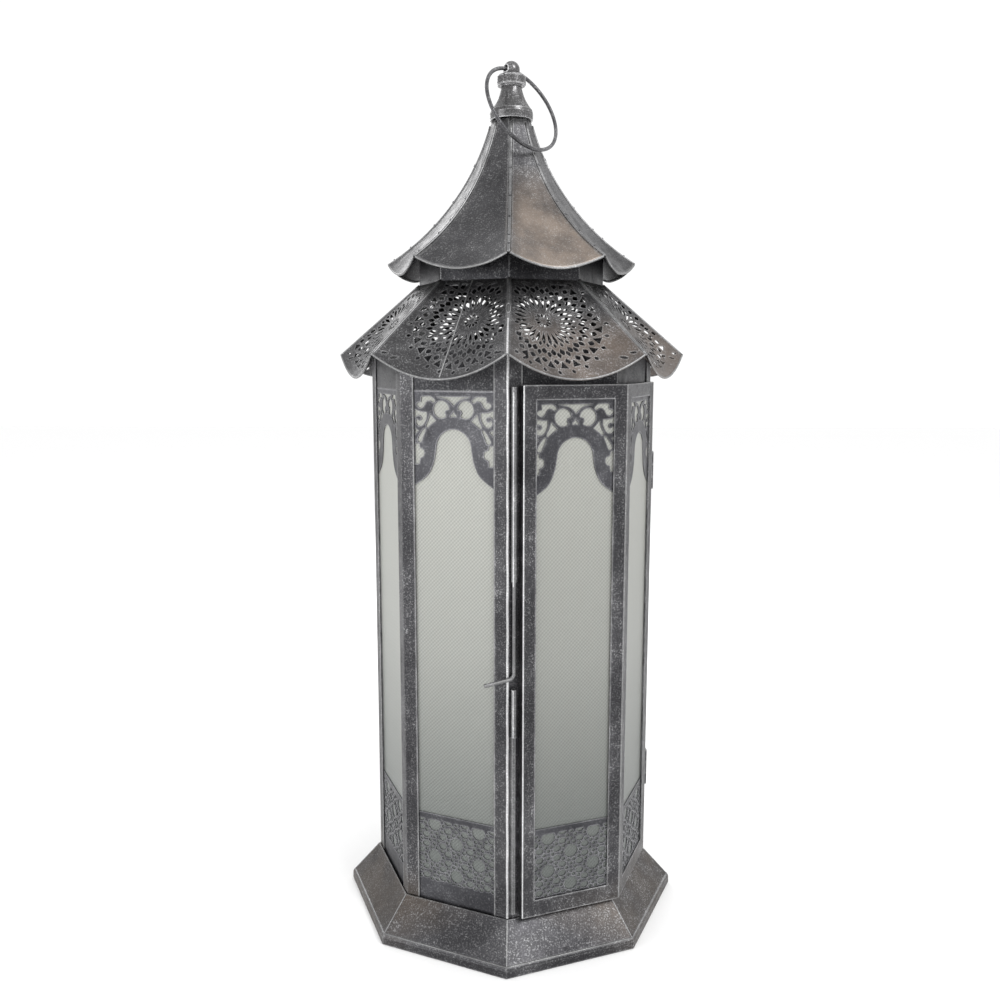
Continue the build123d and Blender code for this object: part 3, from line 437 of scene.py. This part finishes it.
def screen_holes(top, crown, low, high, half):
    """All the piercings of a screen in millimetres from its middle line, as closed outlines."""
    holes = []
    clip = half - 0.6
    for side in (-1, 1):
        def add(corners, sharp=(), step=6):
            loop = rounded(corners, sharp, step)
            loop[:, 0] = side * np.clip(loop[:, 0], -clip, clip)
            loop[:, 1] += top
            holes.append(loop)
        eye = []
        for angle in np.linspace(0, 2 * pi, 48, endpoint=False):
            direction = np.array([cos(angle), sin(angle)])
            reach = 6.5 + 0.35 * cos(angle - 3.6)
            lobe = np.array([5.25, -2.6])
            along_ray = direction @ lobe
            gap = 2.5 ** 2 - (lobe @ lobe - along_ray ** 2)
            if gap > 0 and along_ray > 0:
                reach = min(reach, along_ray - gap ** 0.5)
            eye.append((-9.75 + reach * direction[0], -10.1 + reach * direction[1]))
        add(eye, range(48), 1)
        add([(-27.0, -0.9), (-22.5, -0.6), (-18.2, -0.9), (-15.2, -3.7), (-16.8, -5.2), (-19.6, -3.7),
             (-22.6, -4.6), (-24.8, -8.1), (-27.6, -9.5), (-30.8, -7.2), (-29.6, -5.2), (-26.9, -4.6)],
            (0, 11))
        add([(-32.5, -10.6), (-27.3, -12.1), (-22.4, -12.3), (-22.6, -17.0), (-25.5, -21.9), (-29.2, -22.7),
             (-31.6, -20.5), (-30.8, -17.6), (-29.3, -18.8), (-27.4, -18.6), (-26.6, -16.8), (-27.8, -15.2),
             (-30.2, -15.1), (-32.5, -16.8)], (0, 2, 13))
        add([(-19.6, -13.4), (-14.6, -18.7), (-18.4, -21.3), (-22.0, -24.2), (-23.1, -22.5), (-21.0, -18.3)],
            (0, 1, 3))
        add([(-32.5, -24.4), (-29.4, -26.4), (-32.5, -29.2)], (0, 1, 2))
        add([(-23.3, -25.2), (-25.7, -25.6), (-30.2, -32.4), (-29.5, -34.9), (-27.2, -34.6), (-25.3, -30.3)])
        add([(-32.5, -36.1), (-29.0, -36.1), (-28.6, -39.3), (-25.6, -40.6), (-24.8, -43.0), (-25.6, -45.6),
             (-28.5, -47.0), (-29.0, -51.5), (-32.5, -51.5)], (0, 1, 2, 6, 7, 8))
    crest = [(-14.3, -0.7), (0, -0.7), (14.3, -0.7), (6.5, -2.5), (2.6, -5.0), (0.3, -7.6),
             (-2.0, -5.0), (-6.0, -2.5)]
    bud = [(0, -11.2), (1.0, -13.2), (2.6, -14.6), (1.9, -15.7), (0, -15.2), (-1.9, -15.7),
           (-2.6, -14.6), (-1.0, -13.2)]
    for corners, sharp in ((crest, (0, 1, 2, 5)), (bud, (0,))):
        loop = rounded(corners, sharp)
        loop[:, 1] += top
        holes.append(loop)
    arch = [(14.6 * cos(t), crown - 14.6 + 14.6 * sin(t)) for t in np.linspace(pi, 0, 28)]
    right = rounded([(14.6, -14.6), (16.6, -24.8), (21.7, -34.6), (half, -34.8 - 9.6 * (half - 21.7) / 12.8),
                     (half + 4, -60)], (0, 3, 4), 8)[:25]
    right[:, 1] += crown
    arch += [tuple(p) for p in right[1:]]
    arch += [(half, 107.0), (-half, 107.0)]
    arch += [(-x, z) for x, z in right[1:][::-1]]
    holes.append(np.array(arch))
    pitch, rise, first = 19.35, 13.45, 57.8

    def lattice(x, z, wide, high_, tilt=0.0, ripple=0.0, steps=12):
        t = np.linspace(0, 2 * pi, steps, endpoint=False)
        swell = 1 + ripple * np.cos(12 * t)
        ox, oz = wide * swell * np.cos(t), high_ * swell * np.sin(t)
        xs = np.clip(x + ox * cos(tilt) - oz * sin(tilt), 0.6 - half, half - 0.6)
        zs = np.clip(z + ox * sin(tilt) + oz * cos(tilt), low, high)
        if np.ptp(xs) > 1.1 and np.ptp(zs) > 1.1:
            holes.append(np.column_stack([xs, zs]))

    beads = ((3.5, 0), (-3.5, 0), (0, 3), (0, -3), (2.4, 6.1), (-2.4, 6.1), (2.4, -6.1), (-2.4, -6.1))
    for column, row in [(column, row) for column in range(-3, 4) for row in range(-1, 5)]:
        x, z = column * pitch, first + row * rise
        if (column + row) % 2:
            for dx, dz in beads:
                lattice(x + dx, z + dz, 1.6, 1.45, steps=12)
            continue
        lattice(x, z, 5.6, 5.5, ripple=0.06, steps=60)
        for side_x in (-1, 1):
            for side_z in (-1, 1):
                tilt = -0.12 * side_x * side_z
                lattice(x + side_x * 11.9, z + side_z * 3.8, 3.4, 2.6, tilt=tilt, steps=20)
                lattice(x + side_x * 6.7, z + side_z * 5.4, 1.7, 1.5, steps=12)
            lattice(x + side_x * 8.0, z, 1.35, 1.35, steps=10)
    return holes


def directions(azimuth):
    """Across, up and out of a facet whose middle lies at this azimuth, turned from -Y towards +X."""
    a = radians(azimuth)
    return np.array([cos(a), sin(a), 0]), np.array([0, 0, 1.0]), np.array([sin(a), -cos(a), 0])


screen_metal = antique_metal("screen_metal", (0.032, 0.032, 0.036), (0.55, 0.55, 0.57), 0.25, 0.45,
                             scratch=0.35)

body_apothem = corner_radius * cos(half_angle)
dado_heights = (50.4, 101.9)
for k in range(2, 8):
    along, up, out = directions(45 * k + 22.5)
    outline = np.array([(-41.5, 27.0), (41.5, 27.0), (41.5, 441.0), (-41.5, 441.0)]) / 1000
    holes = [loop / 1000 for loop in screen_holes(437.6, 412.8, *dado_heights, 33.3)]
    screen = cut_sheet(f"screen_{k}", outline, holes, 0.0008)
    stand(screen, out * (body_apothem - 0.001 - 0.0004), along, up, out)
    finish_piece(screen, screen_metal, "lantern", [f"side_screen_{k}"])


# ------------------------------------------------------------------ frosted panes
# Patterned glass held behind the screens by bent tabs: fine ribs crossing at 45 degrees, greener
# and darker towards the foot. The door's panes are a little darker than the fixed ones: painted shade.
def pane_material(name, gain):
    """Two sets of ribs crossing at right angles over a tone that darkens down the pane; gain scales it."""
    material = bpy.data.materials.new(name)
    material.use_nodes = True
    tree = material.node_tree
    shader = tree.nodes["Principled BSDF"]
    place = tree.nodes.new("ShaderNodeUVMap")
    place.uv_map = "pane"
    heights = []
    for angle, strength in ((45, 1.0), (-45, 0.55)):
        mapping = tree.nodes.new("ShaderNodeMapping")
        mapping.inputs["Rotation"].default_value = (0, 0, radians(angle))
        wave = tree.nodes.new("ShaderNodeTexWave")
        wave.inputs["Scale"].default_value = 150
        wave.inputs["Distortion"].default_value = 0.6
        wave.inputs["Detail Scale"].default_value = 40
        tree.links.new(place.outputs[0], mapping.inputs["Vector"])
        tree.links.new(mapping.outputs[0], wave.inputs["Vector"])
        scale = tree.nodes.new("ShaderNodeMath")
        scale.operation = "MULTIPLY"
        scale.inputs[1].default_value = strength
        tree.links.new(wave.outputs["Fac"], scale.inputs[0])
        heights.append(scale.outputs[0])
    ribs = tree.nodes.new("ShaderNodeMath")
    ribs.operation = "ADD"
    tree.links.new(heights[0], ribs.inputs[0])
    tree.links.new(heights[1], ribs.inputs[1])
    split = tree.nodes.new("ShaderNodeSeparateXYZ")
    tree.links.new(place.outputs[0], split.inputs[0])
    ramp = tree.nodes.new("ShaderNodeValToRGB")
    ramp.color_ramp.elements[0].position = 0.08
    ramp.color_ramp.elements[0].color = (0.185, 0.20, 0.19, 1)
    ramp.color_ramp.elements[1].position = 0.44
    ramp.color_ramp.elements[1].color = (0.58, 0.585, 0.54, 1)
    middle = ramp.color_ramp.elements.new(0.24)
    middle.color = (0.44, 0.45, 0.42, 1)
    tree.links.new(split.outputs["Y"], ramp.inputs[0])
    shade = tree.nodes.new("ShaderNodeMapRange")
    shade.inputs["From Min"].default_value = 0.2
    shade.inputs["From Max"].default_value = 1.4
    shade.inputs["To Min"].default_value = 0.78 * gain
    shade.inputs["To Max"].default_value = 1.12 * gain
    tree.links.new(ribs.outputs[0], shade.inputs["Value"])
    tint = tree.nodes.new("ShaderNodeVectorMath")
    tint.operation = "SCALE"
    tree.links.new(ramp.outputs[0], tint.inputs[0])
    tree.links.new(shade.outputs[0], tint.inputs["Scale"])
    tree.links.new(tint.outputs[0], shader.inputs["Base Color"])
    bump = tree.nodes.new("ShaderNodeBump")
    bump.inputs["Strength"].default_value = 0.25
    bump.inputs["Distance"].default_value = 0.0004
    tree.links.new(ribs.outputs[0], bump.inputs["Height"])
    tree.links.new(bump.outputs[0], shader.inputs["Normal"])
    shader.inputs["Roughness"].default_value = 0.42
    shader.inputs["Transmission Weight"].default_value = 0.35
    shader.inputs["IOR"].default_value = 1.45
    return material


# Painted shade: the door's panes, on the right side, take a gain of 0.86 so they read darker than the fixed
# ones.
pane_finish = {"lantern": pane_material("frosted_pane", 1.0), "door": pane_material("door_pane", 0.86)}


def pane(name, node, body, azimuth, apothem, thickness, low_u, high_u, low_z, high_z):
    """Flat slab of glass on a facet, with its width and height in metres as its UV."""
    along, up, out = directions(azimuth)
    points = []
    for depth in (0, -thickness):
        for u, z in ((low_u, low_z), (high_u, low_z), (high_u, high_z), (low_u, high_z)):
            points.append(out * (apothem + depth) + along * u + up * z)
    faces = [(0, 1, 2, 3), (7, 6, 5, 4), (0, 4, 5, 1), (1, 5, 6, 2), (2, 6, 7, 3), (3, 7, 4, 0)]
    piece = new_piece(name, points, faces)
    layer = piece.data.uv_layers.new(name="pane")
    for polygon in piece.data.polygons:
        for index in polygon.loop_indices:
            point = np.array(piece.data.vertices[piece.data.loops[index].vertex_index].co)
            layer.data[index].uv = (point @ along, point[2])
    return finish_piece(piece, pane_finish[body], body, [node])


for k in range(2, 8):
    pane(f"pane_{k}", f"side_glass_{k}", "lantern", 45 * k + 22.5, body_apothem - 0.0018, 0.0025,
         -0.037, 0.037, 0.031, 0.4395)

# ------------------------------------------------------------------ door: screens, panes and trim
# Frame folded over two facets, standing proud of the body, with a pierced screen and a pane behind
# each of its two lights. The edges are hemmed; the leading one carries a painted highlight.
door_apothem = body_apothem + 0.0085
fold = door_apothem / cos(half_angle)
fold_point = np.array([fold * sin(radians(45)), -fold * cos(radians(45))])
along_1, _, out_1 = directions(67.5)
hinge_edge = (out_1 * (body_apothem + 0.0042) + along_1 * 0.0383)[:2]
run = hinge_edge - fold_point
side_azimuth = degrees(atan2(run[1], run[0]))
along_s, _, out_s = directions(side_azimuth)
side_apothem = float(out_s[:2] @ fold_point)
fold_side = float(along_s[:2] @ fold_point)
edge_side = float(along_s[:2] @ hinge_edge)
fold_front = door_apothem * tan(half_angle)
lights = {"front": (22.5, door_apothem, -0.0255, fold_front - 0.01075),
          "side": (side_azimuth, side_apothem, fold_side + 0.01075, edge_side - 0.011)}
for place, (azimuth, apothem, low_u, high_u) in lights.items():
    along, up, out = directions(azimuth)
    centre = (low_u + high_u) / 2
    half = (high_u - low_u) / 2
    outline = np.array([(-half - 0.0043, 0.0454), (half + 0.0043, 0.0454), (half + 0.0043, 0.4398),
                        (-half - 0.0043, 0.4398)])
    holes = [loop / 1000 for loop in screen_holes(432.6, 407.6, *dado_heights, 1000 * half + 0.8)]
    screen = cut_sheet(f"door_screen_{place}_cut", outline, holes, 0.0008)
    stand(screen, out * (apothem - 0.0013) + along * centre, along, up, out)
    finish_piece(screen, screen_metal, "door", [f"door_screen_{place}"])
    pane(f"door_pane_{place}", f"door_glass_{place}", "door", azimuth, apothem - 0.0017, 0.0016,
         centre - half - 0.00125, centre + half + 0.00125, 0.04825, 0.43675)
    for u in (low_u, high_u):
        x, y = (out * (apothem - 0.0001) + along * u)[:2]
        tube(f"door_light_{place}_{'low' if u == low_u else 'high'}", [(x, y, 0.0497), (x, y, 0.4354)],
             0.0003, frame_metal, "door")
    corners = [tuple((out * (apothem - 0.0001) + along * u)[:2]) for u in (low_u, high_u)]
    for z in (0.0496, 0.4355):
        rail = [(x, y, z) for x, y in corners]
        tube(f"door_rail_{place}_{z}", rail, 0.0003, frame_metal, "door")
along_f, _, out_f = directions(22.5)
lead = (out_f * door_apothem + along_f * -0.0355)[:2]
lead_hem = lead - 0.0003 * out_f[:2] + 0.0003 * along_f[:2]
hinge_hem = hinge_edge - 0.0003 * out_s[:2] - 0.0002 * along_s[:2]
# The leading hem takes the painted highlight metal.
for name, (x, y), radius, material in (("door_lead_hem", lead_hem, 0.0006, painted_highlight_metal),
                                       ("door_fold_hem", fold_point * 0.9975, 0.0007, edge_metal),
                                       ("door_hinge_hem", hinge_hem, 0.0005, edge_metal)):
    hem = [(x, y, z) for z in np.linspace(0.0372, 0.4457, 30)]
    tube(name, hem, radius, material, "door")
rim = [tuple(lead - 0.0004 * out_f[:2]), tuple(fold_point * 0.997), tuple(hinge_edge - 0.0004 * out_s[:2])]
for z, material in ((0.0369, frame_metal), (0.4457, edge_metal)):
    tube(f"door_hem_{z}", [(x, y, z) for x, y in rim], 0.0005, material, "door")


# ------------------------------------------------------------------ lower skirt
# Eight pierced panels soldered to the neck band, hanging lower between the ridges towards the eave,
# with hemmed edges. The front-left one is lapped down its middle from two pieces.
eave_apothem = 0.1425 * cos(half_angle)
neck_apothem = 0.0755 * cos(half_angle)
slope_run = eave_apothem - neck_apothem
slope_drop, slope_sag = 0.0571, 0.0176
side_length = float(np.hypot(slope_run, slope_drop))
middle_length = float(np.hypot(slope_run, slope_drop + slope_sag))
side_cut = 0.00125 / cos(half_angle)


def hang(points, azimuth, lift=0.0):
    """Lays flat pattern points (across, up the slope from the neck) on the sagging panel. The share of
    the way down is the slope distance over the panel's length there, which grows towards its middle."""
    along, up, out = directions(azimuth)
    across, down = points[:, 0], -points[:, 1]
    share = down / side_length
    for _ in range(6):
        half = (neck_apothem + slope_run * share) * tan(half_angle) - side_cut
        t = np.clip(across / half, -1, 1)
        share = down / (side_length + (middle_length - side_length) * (1 - t * t))
    apothem = neck_apothem + slope_run * share
    height = 0.5247 - slope_drop * share - slope_sag * share * (1 - t * t) + lift
    return out * apothem[:, None] + along * (t * half)[:, None] + up * height[:, None]


def petal(centre, angle, inner, outer, width, blunt=0.5):
    """Leaf along a ray from the centre: width swells as a sine, skewed outward by blunt."""
    t = np.linspace(0, 1, 7)
    swell = np.sin(pi * t ** blunt if blunt != 1 else pi * t) * width / 2
    radial = inner + (outer - inner) * t
    xs = np.concatenate([radial, radial[::-1][1:-1]])
    ys = np.concatenate([swell, -swell[::-1][1:-1]])
    c, s = cos(angle), sin(angle)
    return np.column_stack([centre[0] + xs * c - ys * s, centre[1] + xs * s + ys * c])


def skirt_holes(offset):
    """Piercings in millimetres: x across the panel, y down the slope measured upward from the neck."""
    centre = (offset, -42.0)
    holes = []
    for count, start, inner, outer, width, blunt in (
        (12, 0.0, 2.2, 7.0, 1.9, 1.4), (26, 0.5, 10.5, 24.0, 2.9, 1.7), (26, 0.0, 21.8, 26.4, 2.5, 1.0),
        (26, 0.5, 27.0, 33.4, 4.4, 1.2), (26, 0.0, 30.0, 36.0, 3.4, 0.9), (26, 0.5, 36.2, 41.6, 4.6, 1.1),
    ):
        for i in range(count):
            holes.append(petal(centre, (i + start) * 2 * pi / count, inner, outer, width, blunt))
    for i in range(26):
        c, s = cos(i * pi / 13), sin(i * pi / 13)
        shape = np.array([(38.4, 0), (45.4, 3.4), (44.6, -3.4)])
        holes.append(np.column_stack([centre[0] + shape[:, 0] * c - shape[:, 1] * s,
                                      centre[1] + shape[:, 0] * s + shape[:, 1] * c]))
        if offset % 2:
            holes.append(petal(centre, (i + 0.5) * pi / 13, 46.5, 50.5, 3.0, 1.0))
    t = np.linspace(0, 2 * pi, 12, endpoint=False)
    slots = ((46.0, -79.0, 5.0, 2.2, -0.2), (27.0, -5.5, 7.0, 2.4, 0.3), (16.5, -5.0, 8.0, 2.4, 0.1),
             (38.5, -81.5, 6.5, 2.4, -0.5), (6.0, -5.0, 6.0, 2.2, 0.0), (33.0, -12.0, 3.4, 2.6, 1.0))
    for side in (-1, 1):
        for x, y, wide, high, tilt in slots:
            ox, oy = wide / 2 * np.cos(t), high / 2 * np.sin(t)
            across = side * (x + ox * cos(tilt) - oy * sin(tilt))
            holes.append(np.column_stack([across, y + ox * sin(tilt) + oy * cos(tilt)]))
    kept = []
    for loop in holes:
        down = -loop[:, 1]
        half = 28.9 + (53.2 - 28.9) * down / 84.2
        reach = 84.2 + 12.8 * (1 - (loop[:, 0] / 53.2) ** 2)
        clear = down.min() > 2.2 and (half - np.abs(loop[:, 0])).min() > 2.2 and (reach - down).min() > 2.6
        if clear and all(np.abs(loop.mean(axis=0) - other.mean(axis=0)).max() > 1.2 for other in kept):
            kept.append(loop)
    return kept


# Warm tan on the lower right of the skirt: partly the metal's own tan, partly painted light on the side lit
# from the right.
skirt_metal = antique_metal("skirt_metal", (0.036, 0.0355, 0.037), (0.6, 0.6, 0.61), 0.5, 0.35,
                            warm=((0.15, 0.12, 0.10), 0.8, ((0, 0, 1), 0.502, 0.478),
                                  ((1, 0, 0), -0.002, 0.012)))

half_eave = eave_apothem * tan(half_angle) - side_cut
half_neck = neck_apothem * tan(half_angle) - side_cut
hem_t = np.linspace(1, -1, 61)
eave_edge = [(half_eave * t, -(side_length + (middle_length - side_length) * (1 - t * t))) for t in hem_t]
side_steps = np.linspace(0, 1, 15)[1:-1]
left_side = [(-half_neck - (half_eave - half_neck) * f, -side_length * f) for f in side_steps]
right_side = [(-x, y) for x, y in left_side]
neck_edge = [(x, 0.0) for x in np.linspace(-half_neck, half_neck, 12)]
skirt_outline = np.array(neck_edge + right_side + eave_edge + left_side[::-1])
pins = np.array([(x, y) for x in np.linspace(-0.050, 0.050, 26) for y in np.linspace(-0.003, -0.093, 24)
                 if abs(x) < half_neck + (half_eave - half_neck) * -y / side_length - 0.0015
                 and -y < side_length + (middle_length - side_length) * (1 - (x / half_eave) ** 2) - 0.0012])
for k, offset in enumerate((-13, 4, -8, 9, -4, 7, -10, 11)):
    azimuth = 45 * k + 22.5
    holes = [loop / 1000 for loop in skirt_holes(offset)]
    panel = cut_sheet(f"skirt_{k}", skirt_outline, holes, 0.0007, pins)
    flat = np.empty(3 * len(panel.data.vertices))
    panel.data.vertices.foreach_get("co", flat)
    panel.data.vertices.foreach_set("co", hang(flat.reshape(-1, 3)[:, :2], azimuth, -0.0005).ravel())
    panel.data.update()
    finish_piece(panel, skirt_metal, "lantern", [f"skirt_panel_{k}"], smooth=True)
    split = panel.modifiers.new("edges", "EDGE_SPLIT")
    split.split_angle = radians(35)
    hem = hang(np.array(eave_edge) + (0, 0.0006), azimuth, -0.0003)
    tube(f"skirt_hem_{k}", [tuple(p) for p in hem], 0.0007, edge_metal, "lantern")
    if k == 7:
        lap_line = [(-0.0010, -0.001), (-0.0006, -0.025), (0.0004, -0.060), (0.0012, -0.0955)]
        lap = hang(np.array(lap_line), azimuth, 0.0002)
        tube("skirt_lap_7", [tuple(p) for p in lap], 0.00055, edge_metal, "lantern")


# ------------------------------------------------------------------ raised seams of both roofs
# Folded seams over the joints between panels, soldered at a few dots and worn bright along the top;
# the lower half of the front one carries a painted highlight, below a small looped repair.
def seam(name, path, width, height, material, replaces=()):
    """Half-round bead along a path in an upright plane through the axis."""
    path = np.array(path)
    ahead = np.gradient(path, axis=0)
    ahead /= np.linalg.norm(ahead, axis=1)[:, None]
    side = np.cross(ahead, [0, 0, 1.0])
    side /= np.linalg.norm(side, axis=1)[:, None]
    lift = np.cross(side, ahead)
    shape = [(-1, -0.9), (-0.95, 0.25), (-0.6, 0.8), (0, 1), (0.6, 0.8), (0.95, 0.25), (1, -0.9)]
    points = [p + s * width * a + l * height * b for p, s, l in zip(path, side, lift) for a, b in shape]
    n, m = len(path), len(shape)
    faces = [(i * m + j, i * m + j + 1, (i + 1) * m + j + 1, (i + 1) * m + j)
             for i in range(n - 1) for j in range(m - 1)]
    faces += [(i * m + m - 1, i * m, (i + 1) * m, (i + 1) * m + m - 1) for i in range(n - 1)]
    faces += [tuple(range(m))[::-1], tuple((n - 1) * m + j for j in range(m))]
    piece = new_piece(name, points, faces)
    return finish_piece(piece, material, "lantern", replaces, smooth=True)


rng = np.random.default_rng(7)
for k in range(8):
    a = radians(45 * k)
    out = np.array([sin(a), -cos(a), 0])
    steps = np.linspace(0, 1, 24)
    path = [out * (0.0757 + 0.0665 * t) + np.array([0, 0, 0.52475 - slope_drop * t]) for t in steps]
    seam(f"skirt_seam_{k}", path, 0.0013, 0.0008, edge_metal, ["skirt_ridges"] if k == 0 else ())
    if k == 0:
        # Painted highlight along the top of the front seam's lower half.
        seam_highlight = [tuple(p + np.array([0, -0.0001, 0.0004])) for p in path[13:]]
        tube("skirt_seam_highlight", seam_highlight, 0.0008, painted_highlight_metal, "lantern")
        middle = path[10]
        down_ridge = (path[-1] - path[0]) / np.linalg.norm(path[-1] - path[0])
        loop = [tuple(middle + np.array([0.0016 * sin(t), -0.0003, 0.0009]) + down_ridge * 0.0055 * cos(t))
                for t in np.linspace(0, 2 * pi, 24, endpoint=False)]
        tube("skirt_seam_patch", loop, 0.00045, edge_metal, "lantern", closed=True)

# A roof ridge in millimetres: the circle through its eave, middle and crown, as apothem and height.
ridge_points = ((101.5, 540.9), (43.5, 595.0), (15.0, 657.5))
(xa, ya), (xb, yb), (xc, yc) = [(r * cos(half_angle), z) for r, z in ridge_points]
det = 2 * (xa * (yb - yc) + xb * (yc - ya) + xc * (ya - yb))
curve_x = ((xa**2 + ya**2) * (yb - yc) + (xb**2 + yb**2) * (yc - ya) + (xc**2 + yc**2) * (ya - yb)) / det
curve_y = ((xa**2 + ya**2) * (xc - xb) + (xb**2 + yb**2) * (xa - xc) + (xc**2 + yc**2) * (xb - xa)) / det
curve_r = float(np.hypot(xa - curve_x, ya - curve_y))


def roof_height(apothem_mm, t=1.0):
    """Height of the hollow roof in millimetres: an arc whose centre lies outside and above, hanging
    lower between the ridges by the square of the way out from two fifths of the eave."""
    out_share = np.maximum(0.0, apothem_mm - 37.51) / 56.26
    return curve_y - np.sqrt(curve_r**2 - (apothem_mm - curve_x) ** 2) - 9.7 * out_share**2 * (1 - t * t)


for k in range(8):
    a = radians(45 * k)
    out = np.array([sin(a), -cos(a), 0])
    radii = np.linspace(17.0, 101.3, 44)
    heights = roof_height(radii * cos(half_angle)) / 1000 + 0.0002
    path = [out * r / 1000 + np.array([0, 0, z]) for r, z in zip(radii, heights)]
    seam(f"roof_seam_{k}", path, 0.00125, 0.0008, edge_metal, ["roof_ridges"] if k == 0 else ())
    for i in (6, 15, 23, 31, 38):
        i += int(rng.integers(-2, 3))
        dot = [tuple(path[i] + (0, 0, 0.0006)), tuple(0.5 * (path[i] + path[i + 1]) + (0, 0, 0.0006))]
        tube(f"solder_{k}_{i}", dot, 0.0010, painted_shade_and_solder_metal, "lantern")

# ------------------------------------------------------------------ upper roof panels
# Eight hollow-curved sheets, slightly dented, with scalloped hems, soldered along the seams. Each is
# a grid of points: rows down the hollow curve, columns across, with two sets of sine dents in it.
# Warm tan on the lower front-right of the roof, much lighter than the patina: partly the metal's own tan,
# partly painted light on the side lit from the right.
roof_metal = antique_metal("roof_metal", (0.036, 0.0355, 0.038), (0.62, 0.62, 0.62), 0.42, 0.35,
                           warm=((0.27, 0.22, 0.182), 0.92, ((0, 0, 1), 0.616, 0.566),
                                 ((1, 0, 0), -0.004, 0.010), ((1, 1, 0), 0.004, -0.006)))

rows, columns = 49, 33
across = np.linspace(-1, 1, columns)[None, :]
roof_apothem = np.linspace(14.8, 101.5 * cos(half_angle), rows)[:, None]
roof_half = roof_apothem * tan(half_angle) - 1.25 / cos(half_angle)
for k in range(8):
    along, up, out = directions(45 * k + 22.5)
    seeds = rng.uniform(0, 6.28, 4)
    dent = 0.28 * np.sin(4.1 * across + seeds[0]) * np.sin(roof_apothem / 9 + seeds[1])
    dent = dent + 0.16 * np.sin(9.0 * across + seeds[2]) * np.sin(roof_apothem / 5 + seeds[3])
    height = roof_height(roof_apothem, across) - 0.35 + dent * (1 - across**4)
    sheet = out * roof_apothem[..., None] + along * (roof_half * across)[..., None] + up * height[..., None]
    points = sheet.reshape(-1, 3) / 1000
    faces = [(i * columns + j, (i + 1) * columns + j, (i + 1) * columns + j + 1, i * columns + j + 1)
             for i in range(rows - 1) for j in range(columns - 1)]
    panel = new_piece(f"roof_{k}", points, faces)
    thick = panel.modifiers.new("sheet", "SOLIDIFY")
    thick.thickness = 0.0007
    thick.offset = 0
    finish_piece(panel, roof_metal, "lantern", [f"roof_panel_{k}"], smooth=True)
    hem = [tuple(p - out * 0.0006) for p in points[-columns:]]
    tube(f"roof_hem_{k}", hem, 0.0009, edge_metal, "lantern")
